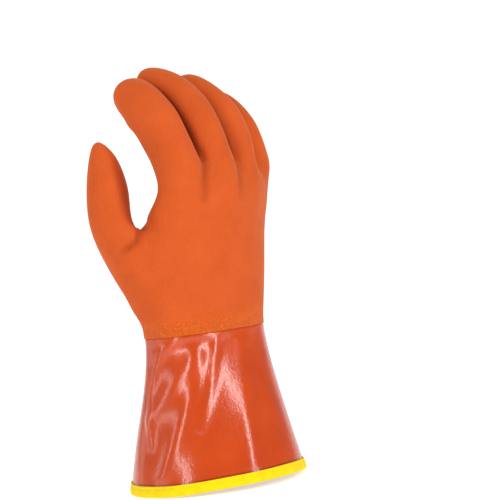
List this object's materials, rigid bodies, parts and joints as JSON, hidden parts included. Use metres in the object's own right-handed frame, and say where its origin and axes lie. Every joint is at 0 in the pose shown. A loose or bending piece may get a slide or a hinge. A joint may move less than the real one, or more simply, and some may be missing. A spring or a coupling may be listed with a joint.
{
  "type": "pvc coated work glove",
  "caption": "Right-hand gauntlet work glove dipped in PVC: rough hand coat with open finger and thumb stalls, smooth flared cuff, taped hem.",
  "frame": {"origin": "centre of the arm opening, in the plane of the hem's lower edge", "axes": "+Z from the arm opening to the fingertips, -Y the back of the hand, +Y the palm, -X the thumb side"},
  "size_m": [0.1481, 0.1235, 0.2961],
  "materials": {
    "rough_coat": "sandy matte dipped PVC",
    "smooth_coat": "glossy smooth dipped PVC over a knitted lining",
    "hem_tape": "folded binding tape, satin"
  },
  "bodies": {
    "root": {"hand_coat": "rough_coat", "cuff": "smooth_coat", "hem_tape": "hem_tape"}
  },
  "joints": []
}
